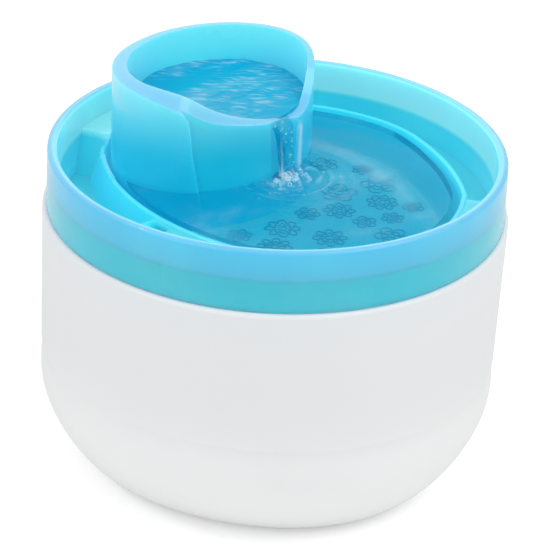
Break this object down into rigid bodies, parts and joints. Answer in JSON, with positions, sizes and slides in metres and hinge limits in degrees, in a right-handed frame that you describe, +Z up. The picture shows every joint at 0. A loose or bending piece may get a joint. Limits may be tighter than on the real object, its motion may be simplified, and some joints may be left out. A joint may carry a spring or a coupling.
{
  "type": "pet water fountain",
  "caption": "Round pet drinking fountain: white tub, blue translucent tray with bowl and gutter, raised oval overflow cup with a spout, submerged pump and filter inside.",
  "frame": {"origin": "on the floor, under the centre of the tray's round rim", "axes": "+Z up; -Y is the front, where the spout pours and the pet drinks; +Y is the back, with the cup and the cord notch"},
  "size_m": [0.2067, 0.2076, 0.1792],
  "materials": {
    "white_shell": "satin moulded white plastic",
    "blue_tray": "translucent tinted plastic, polished",
    "blue_cup": "translucent tinted plastic, polished",
    "rubber_grey": "matt rubber",
    "clear_tube": "clear tube",
    "silicone": "soft silicone",
    "filter_plastic": "moulded",
    "carbon_pad": "non-woven pouch over carbon",
    "foam": "open-cell foam",
    "pump_plastic": "moulded",
    "dial_plastic": "moulded",
    "rotor_plastic": "moulded over a ferrite magnet",
    "shaft_ceramic": "polished",
    "core_iron": "stacked laminations",
    "coil_copper": "enamelled wire",
    "potting_resin": "cast",
    "water": "moving water, drawn in the visual model only"
  },
  "bodies": {
    "tub": {"reservoir_tub": "white_shell", "tub_feet": "rubber_grey", "cord_grommet": "rubber_grey", "riser_tube": "clear_tube", "riser_seal": "silicone", "pump_housing": "pump_plastic", "pump_chamber": "pump_plastic", "pump_cover": "pump_plastic", "intake_cage": "pump_plastic", "pump_sponge": "foam", "impeller_shaft": "shaft_ceramic", "shaft_bush_front": "rubber_grey", "shaft_bush_rear": "rubber_grey", "stator_core": "core_iron", "stator_coil": "coil_copper", "motor_potting": "potting_resin", "suction_cups": "rubber_grey"},
    "tray": {"drinking_tray": "blue_tray"},
    "cup": {"fountain_cup": "blue_cup"},
    "filter": {"filter_basket": "filter_plastic", "filter_pad": "carbon_pad", "filter_foam": "foam", "filter_clip": "filter_plastic"},
    "impeller": {"impeller_rotor": "rotor_plastic"},
    "dial": {"flow_dial": "dial_plastic"}
  },
  "joints": [
    {"name": "tray_lift", "type": "slide", "parent": "tub", "child": "tray", "axis": [0, 0, 1], "range_m": [0, 0.12]},
    {"name": "cup_lift", "type": "slide", "parent": "tray", "child": "cup", "axis": [0, 0, 1], "range_m": [0, 0.07]},
    {"name": "filter_release", "type": "slide", "parent": "tray", "child": "filter", "axis": [0, 0, -1], "range_m": [0, 0.03]},
    {"name": "impeller_spin", "type": "hinge", "parent": "tub", "child": "impeller", "pos_m": [0, 0.038, 0.0303], "axis": [0, -1, 0], "continuous": true},
    {"name": "dial_turn", "type": "hinge", "parent": "tub", "child": "dial", "pos_m": [0, 0.038, 0.0303], "axis": [0, -1, 0], "range_deg": [0, 60]}
  ]
}
